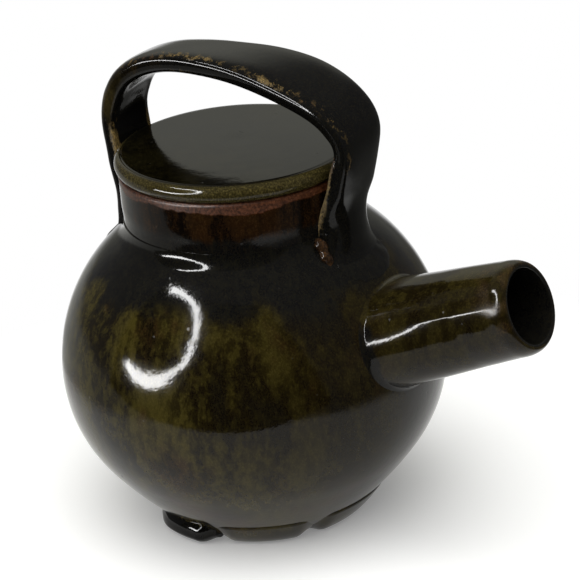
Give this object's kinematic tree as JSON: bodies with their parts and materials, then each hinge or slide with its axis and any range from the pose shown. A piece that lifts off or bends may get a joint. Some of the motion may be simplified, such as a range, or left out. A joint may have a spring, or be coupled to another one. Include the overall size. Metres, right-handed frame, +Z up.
{
  "type": "stoneware teapot",
  "caption": "Glazed stoneware teapot with a globe body, short neck, loose flat lid, overhead strap handle, straight tube spout and a cut foot ring; the lid lifts off.",
  "frame": {"origin": "on the pot's axis, in the plane of the feet that it stands on", "axes": "+Z up, +X towards the spout, the handle lies in the plane of X and Z"},
  "size_m": [0.2172, 0.16, 0.2004],
  "materials": {
    "globe_glaze": "glossy olive-black glaze with vertical streaks",
    "neck_glaze": "glossy brown-black glaze, wiped back to bare clay under the lid",
    "spout_glaze": "glossy olive-brown glaze with reddish mottling",
    "handle_glaze": "glossy blue-black glaze breaking golden brown along the edges",
    "lid_glaze": "glossy olive glaze breaking golden on the rim",
    "foot_glaze": "glossy black glaze",
    "bare_clay": "bare reddish-brown fired clay"
  },
  "bodies": {
    "pot": {"body_globe": "globe_glaze", "neck_collar": "neck_glaze", "spout_tube": "spout_glaze", "handle_strap": "handle_glaze", "handle_front_pad": "handle_glaze", "handle_rear_pad": "handle_glaze", "foot_1": "foot_glaze", "foot_2": "foot_glaze", "foot_3": "foot_glaze", "foot_4": "foot_glaze", "foot_5": "foot_glaze", "foot_6": "foot_glaze", "foot_7": "foot_glaze"},
    "lid": {"lid_disc": "lid_glaze", "lid_flange": "bare_clay"}
  },
  "joints": [
    {"name": "lid_lift", "type": "slide", "parent": "pot", "child": "lid", "axis": [0, 0, 1], "range_m": [0, 0.014]}
  ]
}
